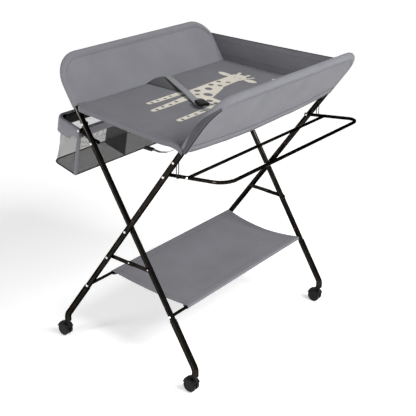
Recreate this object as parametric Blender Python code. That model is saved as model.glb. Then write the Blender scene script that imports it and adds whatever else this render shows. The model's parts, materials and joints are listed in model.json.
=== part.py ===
"""Folding changing table: two crossed U-shaped tube frames that carry a fabric top with two wings,
a low fabric shelf, a drying rack, a mesh basket, telescopic lower legs and swivel casters.

Units are metres. +Z is up and the floor is Z = 0. The table's length runs along Y, with its open end
at -Y. The rack hangs on the +X side and the basket on the -X side. Points inside the functions are
measured from the legs' crossing line, X = 0 there; the empty "table" moves them so that the whole
table's box is centred on X = 0.
"""

import math

import bmesh
import bpy
from mathutils import Matrix, Vector

# Frames
CROSS_SHIFT_X = -0.0062
CROSS_Z = 0.4864
LEG_RUN = 0.665
OUTER_HALF = 0.400
INNER_HALF = 0.376
TUBE_R = 0.0095
TUBE_WALL = 0.0012
WING_TOP_Z = 0.9635
WING_CORNER_R = 0.085
TUBE_END_Z = 0.125

# Clearances
GAP = 0.0003
SLACK = 0.001

# Fasteners
SHANK_R = 0.0025
HOLE_R = 0.0028
HEAD_R = 0.0046
HEAD_H = 0.0022
HEAD_SHOULDER = 0.93
HEAD_CROWN = 0.55
TAIL_R = 0.0034
TAIL_H = 0.0012
TAPER = 0.9
COLLAR_R = 0.0065
SEAT = 0.0005
RIVET_OUT = 0.0008

# Shelf
ROD_R = 0.005
ROD_Z = 0.2363
SHELF_NEAR_Y = -0.300
SHELF_FAR_Y = 0.362
SHEET_T = 0.003

# Folding braces
BRACE_Z = 0.3716
LINK_T = 0.002
LINK_W = 0.014
LINK_OVERLAP = 0.017

# Side racks: the drying rack hangs on the outer frame and the basket on the inner one
ARM_R = 0.0055
ARM_WALL = 0.0009
ARM_TAIL = 0.008
ARM_CORNER_R = 0.045
WIRE_R = 0.0015
STAY_UP_LEG = 0.065
STAY_ON_ARM = 0.038
RACK_PIVOT_Z = 0.711
RACK_TILT = math.radians(8.0)
RACK_REACH = 0.2085
RACK_BAR_AT = 0.070
BASKET_PIVOT_Z = 0.7285
BASKET_TILT = math.radians(13.0)
BASKET_REACH = 0.178
BASKET_BAR_AT = 0.078
BASKET_DEPTH = 0.151
BASKET_FLOOR_FROM = 0.064
BASKET_FLOOR_TO = 0.158
BASKET_FLOOR_HALF = 0.350
BASKET_RIM = 0.045
MESH_T = 0.0015
DIVIDER_Y = 0.117
DIVIDER_TOP = 0.012

# Fabric top
TOP_Z = 0.8325
TOP_T = 0.004
TOP_HALF_X = 0.2155
TOP_HALF_Y = 0.395
WING_T = 0.006
WING_FOOT_Z = 0.842
END_PANEL_Y = 0.388
END_PANEL_TOP_Z = 0.922

# Safety harness
STRAP_W = 0.024
STRAP_T = 0.0015
STRAP_LEFT_FROM = (-0.208, 0.044)
STRAP_RIGHT_TO = (0.208, 0.030)
BUCKLE_AT = (0.046, -0.093)
BUCKLE_HEADING = math.radians(-26.0)
BUCKLE_L = 0.030
BUCKLE_W = 0.030
BUCKLE_H = 0.009
TONGUE_L = 0.016
TONGUE_SHARE = 0.36
POCKET_WALL = 0.002
PLUG_L = 0.014
BUCKLE_PIVOT = (0.1455, 0.0, 1.2436)

# Corner strap under the open end
CORNER_Y = -0.394
CORNER_STRAP_W = 0.010
CORNER_STRAP_ROUTE = ((0.172, 0.796), (0.150, 0.784), (0.124, 0.778), (0.098, 0.779))
CORNER_BUCKLE_SIZE = (0.030, 0.014, 0.007)

# Lower legs and casters
SLEEVE_R = 0.0112
SLEEVE_BORE = TUBE_R + GAP
SLEEVE_TOP_Z = 0.225
BEND_Z = 0.083
SLEEVE_END_Z = 0.060
BEND_R = 0.030
WHEEL_R = 0.0225
WHEEL_W = 0.0105
TRAIL = 0.014
WEB_HALF = 0.0032
WEB_R = 0.0175
HOOD_HALF = 0.015
HOOD_R = 0.0255
HOOD_ARC = (25, 165)
WEB_TOP_ARC = (62, 160)
WEB_LOW_ARC = (200, 380)
NECK_R = 0.0062
NECK_Z = 0.0442
STEM_TOP_Z = 0.072
AXLE_R = 0.0025
WHEEL_EDGE = 0.0018
LEVER_T = 0.0023
LEVER_HALF = 0.007
LEVER_ARC = (118, 156)

# Facets
TUBE_SIDES = 14
ROD_SIDES = 10
WIRE_SIDES = 6
BOLT_SIDES = 8
WHEEL_SIDES = 20
ARC_STEPS = 7
BEND_STEPS = 3
HOOD_STEPS = 10
WEB_STEPS = 8
LINK_STEPS = 6
SMALL_STEPS = 5
SHARP = math.radians(35.0)

X = Vector((1.0, 0.0, 0.0))
Y = Vector((0.0, 1.0, 0.0))
Z = Vector((0.0, 0.0, 1.0))
LEG_LENGTH = math.hypot(LEG_RUN, 1.0)
ENDS = {"near": -1, "far": 1}
PIVOT_SUFFIX = "_pivot"

bodies = {}


# Scene helpers


def clear_scene():
    for obj in list(bpy.data.objects):
        bpy.data.objects.remove(obj, do_unlink=True)


def material(name, colour, roughness, metallic=0.0):
    made = bpy.data.materials.new(name)
    made.use_nodes = True
    shader = made.node_tree.nodes["Principled BSDF"]
    shader.inputs["Base Color"].default_value = (*colour, 1.0)
    shader.inputs["Roughness"].default_value = roughness
    shader.inputs["Metallic"].default_value = metallic
    made.diffuse_color = (*colour, 1.0)
    return made


def body(name, at, parent=None):
    """An empty at a point of the body's joint axis, under its parent body's empty."""
    empty = bpy.data.objects.new(name + PIVOT_SUFFIX, None)
    bpy.context.collection.objects.link(empty)
    at = Vector(at)
    if parent is None:
        empty.location = at + X * CROSS_SHIFT_X
    else:
        empty.parent = bodies[parent][0]
        empty.location = at - bodies[parent][1]
    bodies[name] = (empty, at)


def add(name, shape, made_of, owner):
    """Turns a bmesh in table coordinates into an object whose origin is its body's."""
    empty, at = bodies[owner]
    bmesh.ops.recalc_face_normals(shape, faces=shape.faces)
    bmesh.ops.translate(shape, verts=shape.verts, vec=-at)
    mesh = bpy.data.meshes.new(name)
    shape.to_mesh(mesh)
    shape.free()
    mesh.materials.append(made_of)
    mesh.shade_smooth()
    mesh.set_sharp_from_angle(angle=SHARP)
    obj = bpy.data.objects.new(name, mesh)
    bpy.context.collection.objects.link(obj)
    obj.parent = empty
    return obj


def boolean(obj, shape, operation):
    """Cuts or joins a bmesh, in table coordinates, with the object."""
    owner = obj.parent.name.removesuffix(PIVOT_SUFFIX)
    number = len(obj.modifiers) + 1
    tool = add(f"{obj.name}_tool_{number}", shape, obj.data.materials[0], owner)
    tool.hide_render = True
    tool.display_type = "WIRE"
    modifier = obj.modifiers.new(f"{operation.lower()}_{number}", "BOOLEAN")
    modifier.operation = operation
    modifier.solver = "EXACT"
    modifier.object = tool


# Shapes


def rounded(corners, radius, steps=ARC_STEPS):
    """The corner points as a path whose inner corners are arcs of the radius."""
    path = [corners[0]]
    for before, corner, after in zip(corners, corners[1:], corners[2:]):
        back = (before - corner).normalized()
        on = (after - corner).normalized()
        half = back.angle(on) / 2
        centre = corner + (back + on).normalized() * radius / math.sin(half)
        spoke = corner + back * radius / math.tan(half) - centre
        axis = on.cross(back).normalized()
        turn = math.pi - 2 * half
        for step in range(steps + 1):
            path.append(centre + Matrix.Rotation(turn * step / steps, 3, axis) @ spoke)
    path.append(corners[-1])
    return path


def loops_along(shape, path, normal, radius, sides, closed):
    """One ring of vertices at each point of a flat path, mitred where the path turns."""
    rings = []
    last = len(path) - 1
    for number, point in enumerate(path):
        before = path[number - 1] if number or closed else point
        after = path[(number + 1) % len(path)] if number < last or closed else point
        into = (point - before).normalized()
        out = (after - point).normalized()
        along = (into + out).normalized()
        bend = into.angle(out, 0.0) if into.length and out.length else 0.0
        across = along.cross(normal) / math.cos(bend / 2)
        ring = []
        for side in range(sides):
            angle = 2 * math.pi * side / sides
            offset = across * math.cos(angle) + normal * math.sin(angle)
            ring.append(shape.verts.new(point + offset * radius))
        rings.append(ring)
    return rings


def skin(shape, rings, closed=False):
    """Quads between neighbouring rings."""
    pairs = list(zip(rings, rings[1:]))
    if closed:
        pairs.append((rings[-1], rings[0]))
    for one, other in pairs:
        for side in range(len(one)):
            following = (side + 1) % len(one)
            shape.faces.new((one[side], one[following], other[following], other[side]))


def pipe(shape, path, normal, radius, wall, sides=TUBE_SIDES):
    """A hollow tube, open at both ends, along a flat path."""
    outside = loops_along(shape, path, normal, radius, sides, False)
    inside = loops_along(shape, path, normal, radius - wall, sides, False)
    skin(shape, outside + inside[::-1], closed=True)


def wire_loop(shape, path, normal, radius):
    """A solid wire bent into a closed loop."""
    skin(shape, loops_along(shape, path, normal, radius, WIRE_SIDES, True), closed=True)


def turned(shape, at, axis, profile, sides):
    """A solid of revolution. The profile holds (distance along the axis, radius), end to end."""
    axis = Vector(axis).normalized()
    one = axis.orthogonal().normalized()
    two = axis.cross(one)
    rings = []
    for along, radius in profile:
        ring = []
        for side in range(sides):
            angle = 2 * math.pi * (side + 0.5) / sides
            spoke = one * math.cos(angle) + two * math.sin(angle)
            ring.append(shape.verts.new(Vector(at) + axis * along + spoke * radius))
        rings.append(ring)
    skin(shape, rings)
    shape.faces.new(rings[0])
    shape.faces.new(rings[-1])


def prism(shape, outline, push):
    """A flat outline pushed along a vector."""
    start = [shape.verts.new(point) for point in outline]
    end = [shape.verts.new(point + push) for point in outline]
    skin(shape, [start, end])
    shape.faces.new(start)
    shape.faces.new(end)


def block(shape, low, high):
    """A box between two corners."""
    (x0, y0, z0), (x1, y1, z1) = low, high
    base = [Vector(p) for p in ((x0, y0, z0), (x1, y0, z0), (x1, y1, z0), (x0, y1, z0))]
    prism(shape, base, Z * (z1 - z0))


def arc(centre, radius, start, stop, steps, right=X, up=Z):
    """Points of a circular arc in the plane of right and up; the angles are in degrees."""
    points = []
    for step in range(steps + 1):
        angle = math.radians(start + (stop - start) * step / steps)
        points.append(centre + (right * math.cos(angle) + up * math.sin(angle)) * radius)
    return points


def ribbon(shape, path, width, thickness):
    """A flat strap of the given width about a path; the thickness is added above the path."""
    left, right = [], []
    last = len(path) - 1
    for number, point in enumerate(path):
        along = path[min(number + 1, last)] - path[max(number - 1, 0)]
        side = Z.cross(along).normalized() * (width / 2)
        left.append(point + side)
        right.append(point - side)
    rings = []
    for one, other in zip(left, right):
        lift = Z * thickness
        rings.append([shape.verts.new(p) for p in (one, other, other + lift, one + lift)])
    skin(shape, rings)
    shape.faces.new(rings[0])
    shape.faces.new(rings[-1])


# Places on the frames


def on_leg(wing_side, half, end, z):
    """The centre of a leg at a height. wing_side is +1 on the frame whose wing is at +X."""
    return Vector((wing_side * (z - CROSS_Z) * LEG_RUN, end * half, z))


def leg_direction(wing_side):
    """Up along a leg."""
    return Vector((wing_side * LEG_RUN, 0.0, 1.0)) / LEG_LENGTH


def arm_direction(side, tilt):
    """Out along a side rack's arm, which rises as it goes out."""
    return Vector((side * math.cos(tilt), 0.0, math.sin(tilt)))


def bolt(shape, place, outward, head_y, end_y, tail=False, collar=None):
    """A bolt along Y with its domed head on the outward side of head_y and its shank to end_y.

    A tail is a thin riveted head past the shank's end. A collar is a thick stretch of the shank
    between two Y values.
    """
    at = Vector((place.x, 0.0, place.z))
    profile = [
        (outward * head_y + HEAD_H, HEAD_R * HEAD_CROWN),
        (outward * head_y + HEAD_H / 2, HEAD_R * HEAD_SHOULDER),
        (outward * head_y, HEAD_R),
        (outward * head_y, SHANK_R),
    ]
    if collar:
        start, stop = (outward * y for y in collar)
        profile += [(start, SHANK_R), (start, COLLAR_R), (stop, COLLAR_R), (stop, SHANK_R)]
    if tail:
        under = outward * end_y - GAP
        profile += [(under, SHANK_R), (under, TAIL_R), (under - TAIL_H, TAIL_R * TAPER)]
    else:
        profile += [(outward * end_y, SHANK_R)]
    turned(shape, at, Y * outward, profile, BOLT_SIDES)


def cross_holes(shape, places, radius=HOLE_R):
    """Cutters along Y through a tube, at the given centres."""
    for place in places:
        profile = [(-2 * TUBE_R, radius), (2 * TUBE_R, radius)]
        turned(shape, place, Y, profile, BOLT_SIDES)


# Frames


def leg_frame(name, wing_side, half, pivot_z, owner):
    """One U-shaped tube: a leg, the wing's rounded top and the other leg, with its rivets."""
    corners = [
        on_leg(wing_side, half, -1, TUBE_END_Z),
        on_leg(wing_side, half, -1, WING_TOP_Z),
        on_leg(wing_side, half, 1, WING_TOP_Z),
        on_leg(wing_side, half, 1, TUBE_END_Z),
    ]
    shape = bmesh.new()
    normal = leg_direction(wing_side).cross(Y)
    pipe(shape, rounded(corners, WING_CORNER_R), normal, TUBE_R, TUBE_WALL)
    frame = add(name, shape, paint, owner)
    holes = bmesh.new()
    for end in (-1, 1):
        cross_holes(holes, [on_leg(wing_side, half, end, z) for z in (CROSS_Z, ROD_Z, pivot_z)])
    boolean(frame, holes, "DIFFERENCE")
    boolean(frame, fixed_rivets(wing_side, half, pivot_z), "UNION")


def riveted_rod(name, middle, half, face, owner):
    """A rod along Y whose ends are turned down, pass through the side tubes and are headed."""
    ends = [
        (half, ROD_R),
        (half, SHANK_R),
        (face, SHANK_R),
        (face, HEAD_R),
        (face + HEAD_H / 2, HEAD_R * HEAD_SHOULDER),
        (face + HEAD_H, HEAD_R * HEAD_CROWN),
    ]
    profile = [(-along, radius) for along, radius in ends[::-1]] + ends
    shape = bmesh.new()
    turned(shape, middle, Y, profile, ROD_SIDES)
    add(name, shape, paint, owner)


def shelf_rod(name, wing_side, half, owner):
    middle = on_leg(wing_side, half, 1, ROD_Z)
    middle.y = 0.0
    riveted_rod(name, middle, half - TUBE_R - GAP, half + TUBE_R + GAP, owner)


def stay_height(pivot_z):
    """The height on the leg of the bolt that a side rack's stay hangs from."""
    return pivot_z + STAY_UP_LEG / LEG_LENGTH


def fixed_rivets(wing_side, half, pivot_z):
    """The rivets that stay with one frame: they hold its braces and hang its side rack's stays."""
    shape = bmesh.new()
    outer_face = half + TUBE_R - SEAT
    inner_face = half - TUBE_R
    for end in (-1, 1):
        brace = on_leg(wing_side, half, end, BRACE_Z)
        if half == OUTER_HALF:
            bolt(shape, brace, end, end * outer_face, end * (inner_face - GAP - LINK_T))
        else:
            link_face = half + TUBE_R + GAP + LINK_T
            bolt(shape, brace, -end, end * (inner_face + SEAT), end * link_face)
        stay = on_leg(wing_side, half, end, stay_height(pivot_z))
        stay_face = inner_face - 2 * (WIRE_R + GAP)
        bolt(shape, stay, end, end * outer_face, end * stay_face, tail=True)
    return shape


def rack_pivot_bolts(prefix, wing_side, half, pivot_z, owner):
    """The bolts that a side rack turns on, through the leg and the rack's arm."""
    inner_face = arm_plane_y(half) - ARM_R
    for word, end in ENDS.items():
        shape = bmesh.new()
        place = on_leg(wing_side, half, end, pivot_z)
        bolt(shape, place, end, end * (half + TUBE_R + GAP), end * inner_face, tail=True)
        add(f"{prefix}_pivot_bolt_{word}", shape, steel, owner)


def cross_pivot_bolts():
    """The bolts on which the two frames turn, with a collar that keeps the legs apart."""
    inner_face = INNER_HALF - TUBE_R
    collar_start = OUTER_HALF - TUBE_R - GAP
    collar_end = INNER_HALF + TUBE_R + GAP
    centre = Vector((0.0, 0.0, CROSS_Z))
    for word, end in ENDS.items():
        shape = bmesh.new()
        head_face = end * (OUTER_HALF + TUBE_R + GAP)
        collar = (end * collar_start, end * collar_end)
        bolt(shape, centre, end, head_face, end * inner_face, tail=True, collar=collar)
        add(f"cross_pivot_bolt_{word}", shape, steel, "outer_frame")


# Braces


def brace_link(name, end, wing_side, owner):
    """A flat link from its leg to the middle rivet. The outer frame's link reaches past it."""
    outer = wing_side > 0
    half = OUTER_HALF if outer else INNER_HALF
    foot = on_leg(wing_side, half, end, BRACE_Z)
    face = OUTER_HALF - TUBE_R - GAP if outer else INNER_HALF + TUBE_R + GAP + LINK_T
    foot.y = end * face
    reach = abs(foot.x) + (LINK_OVERLAP if outer else 0.0)
    along = X * math.copysign(1.0, -foot.x)
    tip = foot + along * reach
    radius = LINK_W / 2
    outline = arc(foot, radius, 90, 270, LINK_STEPS, along, Z)
    outline += arc(tip, radius, -90, 90, LINK_STEPS, along, Z)
    shape = bmesh.new()
    prism(shape, outline, Y * -end * LINK_T)
    link = add(name, shape, paint, owner)
    holes = bmesh.new()
    middle = Vector((0.0, foot.y, foot.z))
    cross_holes(holes, [foot, middle])
    boolean(link, holes, "DIFFERENCE")


def brace_middle_rivets():
    """The middle rivets ride in the outer links and end short of the inner ones."""
    face = OUTER_HALF - TUBE_R - GAP
    for word, end in ENDS.items():
        shape = bmesh.new()
        middle = Vector((0.0, 0.0, BRACE_Z))
        ends = [(end * face, SHANK_R), (end * (face - LINK_T), SHANK_R)]
        turned(shape, middle, Y, ends, BOLT_SIDES)
        add(f"brace_middle_rivet_{word}", shape, steel, "outer_links")


# Side racks


def arm_plane_y(half):
    """Y of a side rack's arm centre, inside the leg and clear of the stay's wire."""
    return half - TUBE_R - 2 * (WIRE_R + GAP) - GAP - ARM_R


def rack_tube(name, side, half, pivot_z, tilt, reach, bar_at, owner):
    """The U-shaped tube of a side rack, drilled for its pivots, stays and bar."""
    out = arm_direction(side, tilt)
    normal = out.cross(Y)
    pivot = on_leg(side, half, 1, pivot_z)
    pivot.y = 0.0
    at_side = Y * arm_plane_y(half)
    corners = [
        pivot - out * ARM_TAIL - at_side,
        pivot + out * reach - at_side,
        pivot + out * reach + at_side,
        pivot - out * ARM_TAIL + at_side,
    ]
    shape = bmesh.new()
    pipe(shape, rounded(corners, ARM_CORNER_R), normal, ARM_R, ARM_WALL, ROD_SIDES)
    frame = add(name, shape, paint, owner)
    holes = bmesh.new()
    rivets = bmesh.new()
    centre = arm_plane_y(half)
    for end in (-1, 1):
        cross_holes(holes, [pivot + out * along + at_side * end for along in (0.0, bar_at)])
        stay = pivot + out * STAY_ON_ARM
        bolt(rivets, stay, -end, end * (centre - ARM_R + SEAT), end * (centre + ARM_R + RIVET_OUT))
    boolean(frame, holes, "DIFFERENCE")
    boolean(frame, rivets, "UNION")


def rack_bar(name, side, half, pivot_z, tilt, bar_at, owner):
    """The straight bar between the arms."""
    middle = on_leg(side, half, 1, pivot_z) + arm_direction(side, tilt) * bar_at
    middle.y = 0.0
    centre = arm_plane_y(half)
    riveted_rod(name, middle, centre - ARM_R - GAP, centre + ARM_R + GAP, owner)


def stay_loop(name, end, side, half, pivot_z, tilt, owner):
    """A long wire loop from the bolt on the leg down to the rivet on the arm."""
    out = arm_direction(side, tilt)
    hang = on_leg(side, half, end, stay_height(pivot_z))
    foot = on_leg(side, half, end, pivot_z) + out * STAY_ON_ARM
    level = end * (half - TUBE_R - GAP - WIRE_R)
    hang.y = level
    foot.y = level
    radius = SHANK_R + GAP + WIRE_R
    along = (hang - foot).normalized()
    across = along.cross(Y)
    path = arc(hang, radius, 0, 180, SMALL_STEPS, across, along)
    path += arc(foot, radius, 180, 360, SMALL_STEPS, across, along)
    shape = bmesh.new()
    wire_loop(shape, path, Y, WIRE_R)
    add(name, shape, paint, owner)


def side_rack(prefix, side, half, pivot_z, tilt, reach, bar_at):
    parent = "outer_frame" if half == OUTER_HALF else "inner_frame"
    pivot = on_leg(side, half, 1, pivot_z)
    hang = on_leg(side, half, 1, stay_height(pivot_z))
    body(prefix, (pivot.x, 0.0, pivot.z), parent)
    body(f"{prefix}_stays", (hang.x, 0.0, hang.z), parent)
    rack_tube(f"{prefix}_frame", side, half, pivot_z, tilt, reach, bar_at, prefix)
    rack_bar(f"{prefix}_bar", side, half, pivot_z, tilt, bar_at, prefix)
    rack_pivot_bolts(prefix, side, half, pivot_z, parent)
    for word, end in ENDS.items():
        name = f"{prefix}_stay_{word}"
        stay_loop(name, end, side, half, pivot_z, tilt, f"{prefix}_stays")


def basket_point(out, down, y):
    """A point of the basket: out along the arms from their pivot, and down square to them."""
    along = arm_direction(-1, BASKET_TILT)
    drop = Vector((-math.sin(BASKET_TILT), 0.0, -math.cos(BASKET_TILT)))
    pivot = on_leg(-1, INNER_HALF, 1, BASKET_PIVOT_Z)
    return Vector((pivot.x, y, pivot.z)) + along * out + drop * down


def basket_outline(down, inset):
    """The basket's outline at a depth, inner edge first, pulled in by an inset on every side."""
    share = down / BASKET_DEPTH
    inner = BASKET_BAR_AT + share * (BASKET_FLOOR_FROM - BASKET_BAR_AT) + inset
    outer = BASKET_REACH + share * (BASKET_FLOOR_TO - BASKET_REACH) - inset
    top_half = arm_plane_y(INNER_HALF)
    half = top_half + share * (BASKET_FLOOR_HALF - top_half) - inset
    radius = ARM_CORNER_R - inset
    along = arm_direction(-1, BASKET_TILT)
    near = basket_point(outer - radius, down, radius - half)
    far = basket_point(outer - radius, down, half - radius)
    outline = [basket_point(inner, down, -half)]
    outline += arc(near, radius, 180, 90, ARC_STEPS, Y, along)
    outline += arc(far, radius, 90, 0, ARC_STEPS, Y, along)
    outline.append(basket_point(inner, down, half))
    return outline


def basket_mesh():
    """A thin open box of mesh that hangs below the frame."""
    top = ARM_R + GAP
    levels = ((top, 0.0), (BASKET_DEPTH, 0.0), (BASKET_DEPTH - MESH_T, MESH_T), (top, MESH_T))
    shape = bmesh.new()
    rings = []
    for down, inset in levels:
        rings.append([shape.verts.new(point) for point in basket_outline(down, inset)])
    skin(shape, rings[:2])
    skin(shape, rings[2:])
    skin(shape, [rings[3], rings[0]])
    shape.faces.new(rings[1])
    shape.faces.new(rings[2])
    add("basket_mesh", shape, mesh_fabric, "basket")


def basket_dividers():
    """Two mesh walls across the basket."""
    floor = BASKET_DEPTH - MESH_T - SLACK
    inset = MESH_T + SLACK
    high = basket_outline(DIVIDER_TOP, inset)
    low = basket_outline(floor, inset)
    middle = len(high) // 2
    for word, end in ENDS.items():
        outline = []
        for point in (high[0], high[middle], low[middle], low[0]):
            outline.append(Vector((point.x, end * DIVIDER_Y, point.z)))
        shape = bmesh.new()
        prism(shape, outline, Y * end * MESH_T)
        add(f"basket_divider_{word}", shape, mesh_fabric, "basket")


def basket_rim():
    """The fabric band outside the mesh, below the frame's tube."""
    top = ARM_R + GAP
    out = -GAP - MESH_T
    lines = []
    for down, inset in ((top, -GAP), (top, out), (BASKET_RIM, out), (BASKET_RIM, -GAP)):
        lines.append(basket_outline(down, inset))
    shape = bmesh.new()
    columns = []
    for corners in zip(*lines):
        columns.append([shape.verts.new(point) for point in corners])
    skin(shape, columns)
    shape.faces.new(columns[0])
    shape.faces.new(columns[-1])
    add("basket_rim", shape, cloth, "basket")


# Fabric top and shelf


def wing_cover(name, wing_side, half, owner):
    """The fabric stretched inside one U, from the top's level to its rounded top tube."""
    up = leg_direction(wing_side)
    normal = up.cross(Y)
    low = on_leg(wing_side, half, 1, WING_FOOT_Z)
    high = on_leg(wing_side, half, 1, WING_TOP_Z) - up * (TUBE_R + SLACK)
    low.y = 0.0
    high.y = 0.0
    wide = half - TUBE_R - SLACK
    radius = WING_CORNER_R - TUBE_R - SLACK
    near = high - up * radius - Y * (wide - radius)
    far = high - up * radius + Y * (wide - radius)
    outline = [low - Y * wide]
    outline += arc(near, radius, 180, 90, ARC_STEPS, Y, up)
    outline += arc(far, radius, 90, 0, ARC_STEPS, Y, up)
    outline.append(low + Y * wide)
    shape = bmesh.new()
    prism(shape, [point - normal * WING_T / 2 for point in outline], normal * WING_T)
    add(name, shape, cloth, owner)


def fabric_top():
    shape = bmesh.new()
    low = (-TOP_HALF_X, -TOP_HALF_Y, TOP_Z - TOP_T)
    block(shape, low, (TOP_HALF_X, TOP_HALF_Y, TOP_Z))
    add("changing_surface", shape, cloth, "outer_frame")


def end_panel():
    """The fabric wall at the far end. It passes outside the inner frame's leg."""
    shape = bmesh.new()
    outline = []
    for z in (TOP_Z + SLACK, END_PANEL_TOP_Z):
        run = (z - CROSS_Z) * LEG_RUN
        pair = [Vector((-run - TUBE_R, 0.0, z)), Vector((run - TUBE_R * LEG_LENGTH - SLACK, 0.0, z))]
        outline += pair if not outline else pair[::-1]
    back = Y * (END_PANEL_Y - SHEET_T / 2)
    prism(shape, [point + back for point in outline], Y * SHEET_T)
    add("end_panel", shape, cloth, "outer_frame")


def shelf_sheet():
    reach = (CROSS_Z - ROD_Z) * LEG_RUN - ROD_R - 2 * SLACK
    shape = bmesh.new()
    low = (-reach, SHELF_NEAR_Y, ROD_Z - SHEET_T / 2)
    block(shape, low, (reach, SHELF_FAR_Y, ROD_Z + SHEET_T / 2))
    add("shelf_sheet", shape, cloth, "outer_frame")


# Harness


def buckle_frame():
    """The buckle's own axes: its heading, its left and its lower centre."""
    heading = Vector((math.cos(BUCKLE_HEADING), math.sin(BUCKLE_HEADING), 0.0))
    return heading, Z.cross(heading), Vector((*BUCKLE_AT, TOP_Z + SLACK / 2))


def buckle_box(shape, start, stop, half_width, low, high):
    """A box in the buckle's own axes: along its heading, across it and up."""
    heading, left, base = buckle_frame()
    near = base + heading * start + Z * low
    outline = [
        near - left * half_width,
        near + left * half_width,
        near + left * half_width + heading * (stop - start),
        near - left * half_width + heading * (stop - start),
    ]
    prism(shape, outline, Z * (high - low))


def buckle():
    shell = bmesh.new()
    buckle_box(shell, -BUCKLE_L, 0.0, BUCKLE_W / 2, 0.0, BUCKLE_H)
    socket = add("buckle_socket", shell, plastic, "buckle_carry")
    pocket = bmesh.new()
    roof = BUCKLE_H - POCKET_WALL
    buckle_box(pocket, -TONGUE_L - SLACK, SLACK, BUCKLE_W * TONGUE_SHARE, POCKET_WALL, roof)
    boolean(socket, pocket, "DIFFERENCE")

    grip = bmesh.new()
    buckle_box(grip, SLACK / 2, PLUG_L, BUCKLE_W / 2, 0.0, BUCKLE_H)
    plug = add("buckle_plug", grip, plastic, "buckle_plug_slide")
    tongue = bmesh.new()
    inside = BUCKLE_W * TONGUE_SHARE - SLACK / 2
    floor = POCKET_WALL + SLACK / 2
    buckle_box(tongue, -TONGUE_L, SLACK, inside, floor, BUCKLE_H - floor)
    boolean(plug, tongue, "UNION")


def harness_straps():
    """Two flat straps from the creases to the buckle, laid on the changing surface."""
    heading, _, base = buckle_frame()
    level = TOP_Z + SLACK / 2
    socket_end = base - heading * (BUCKLE_L + GAP)
    plug_end = base + heading * (PLUG_L + GAP)
    start = Vector((*STRAP_LEFT_FROM, level))
    finish = Vector((*STRAP_RIGHT_TO, level))
    swing = plug_end + heading * STRAP_W
    runs = {
        "harness_strap_left": [start, socket_end - heading * STRAP_W, socket_end],
        "harness_strap_right": [plug_end, swing, finish],
    }
    for name, route in runs.items():
        shape = bmesh.new()
        ribbon(shape, route, STRAP_W, STRAP_T)
        add(name, shape, webbing, "outer_frame")


def corner_strap():
    """A short strap and buckle from the outer frame's near leg to the top's underside."""
    path = [Vector((x, CORNER_Y, z)) for x, z in CORNER_STRAP_ROUTE]
    shape = bmesh.new()
    ribbon(shape, path, CORNER_STRAP_W, STRAP_T)
    length, width, height = CORNER_BUCKLE_SIZE
    add("corner_strap", shape, webbing, "outer_frame")
    shape = bmesh.new()
    end = path[-1].x - GAP
    low = path[-1].z - height / 2
    corner = (end - length, CORNER_Y - width / 2, low)
    block(shape, corner, (end, CORNER_Y + width / 2, low + height))
    add("corner_buckle", shape, plastic, "outer_frame")


# Lower legs and casters


def lower_leg(word, wing_side, half, end, parent):
    """A sleeve over the leg tube that bends upright above the caster."""
    name = f"lower_leg_{word}"
    top = on_leg(wing_side, half, end, SLEEVE_TOP_Z)
    bend = on_leg(wing_side, half, end, BEND_Z)
    foot = Vector((bend.x, bend.y, SLEEVE_END_Z))
    body(name, top, parent)
    shape = bmesh.new()
    path = rounded([top, bend, foot], BEND_R, BEND_STEPS)
    pipe(shape, path, Y, SLEEVE_R, SLEEVE_R - SLEEVE_BORE)
    add(name, shape, paint, name)
    return foot


def caster_fork(word, foot, axle):
    """The stem in the leg, the neck, the web between the wheels and their hood."""
    name = f"caster_fork_{word}"
    stem = Vector((foot.x, foot.y, 0.0))
    outline = [stem + X * NECK_R + Z * (NECK_Z + SLACK)]
    outline += arc(axle, HOOD_R - SLACK, *WEB_TOP_ARC, WEB_STEPS)
    outline += arc(axle, WEB_R, *WEB_LOW_ARC, WEB_STEPS)
    shape = bmesh.new()
    prism(shape, [point - Y * WEB_HALF for point in outline], Y * 2 * WEB_HALF)
    fork = add(name, shape, plastic, name)

    hood = bmesh.new()
    band = arc(axle, HOOD_R, *HOOD_ARC, HOOD_STEPS)
    band += arc(axle, WHEEL_R + SLACK, *HOOD_ARC[::-1], HOOD_STEPS)
    prism(hood, [point - Y * HOOD_HALF for point in band], Y * 2 * HOOD_HALF)
    boolean(fork, hood, "UNION")

    post = bmesh.new()
    profile = [
        (NECK_Z, NECK_R),
        (SLEEVE_END_Z - 3 * SLACK, NECK_R * TAPER),
        (SLEEVE_END_Z - SLACK, SLEEVE_R - SLACK),
        (SLEEVE_END_Z - GAP, SLEEVE_R - SLACK),
        (SLEEVE_END_Z - GAP, SLEEVE_BORE - 2 * GAP),
        (STEM_TOP_Z, SLEEVE_BORE - 2 * GAP),
    ]
    turned(post, stem, Z, profile, ROD_SIDES)
    boolean(fork, post, "UNION")

    hole = bmesh.new()
    turned(hole, axle, Y, [(-2 * WEB_HALF, AXLE_R + GAP), (2 * WEB_HALF, AXLE_R + GAP)], BOLT_SIDES)
    boolean(fork, hole, "DIFFERENCE")


def caster_wheels(word, axle):
    """Twin wheels on their axle, one on each side of the web."""
    start = WEB_HALF + 2 * GAP
    stop = start + WHEEL_W
    half = [
        (start, AXLE_R),
        (start, WHEEL_R - WHEEL_EDGE / 2),
        (start + WHEEL_EDGE / 2, WHEEL_R),
        (stop - WHEEL_EDGE, WHEEL_R),
        (stop, WHEEL_R - WHEEL_EDGE),
    ]
    profile = [(-along, radius) for along, radius in half[::-1]] + half
    shape = bmesh.new()
    turned(shape, axle, Y, profile, WHEEL_SIDES)
    add(f"caster_wheels_{word}", shape, rubber, f"caster_wheels_{word}")


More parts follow.
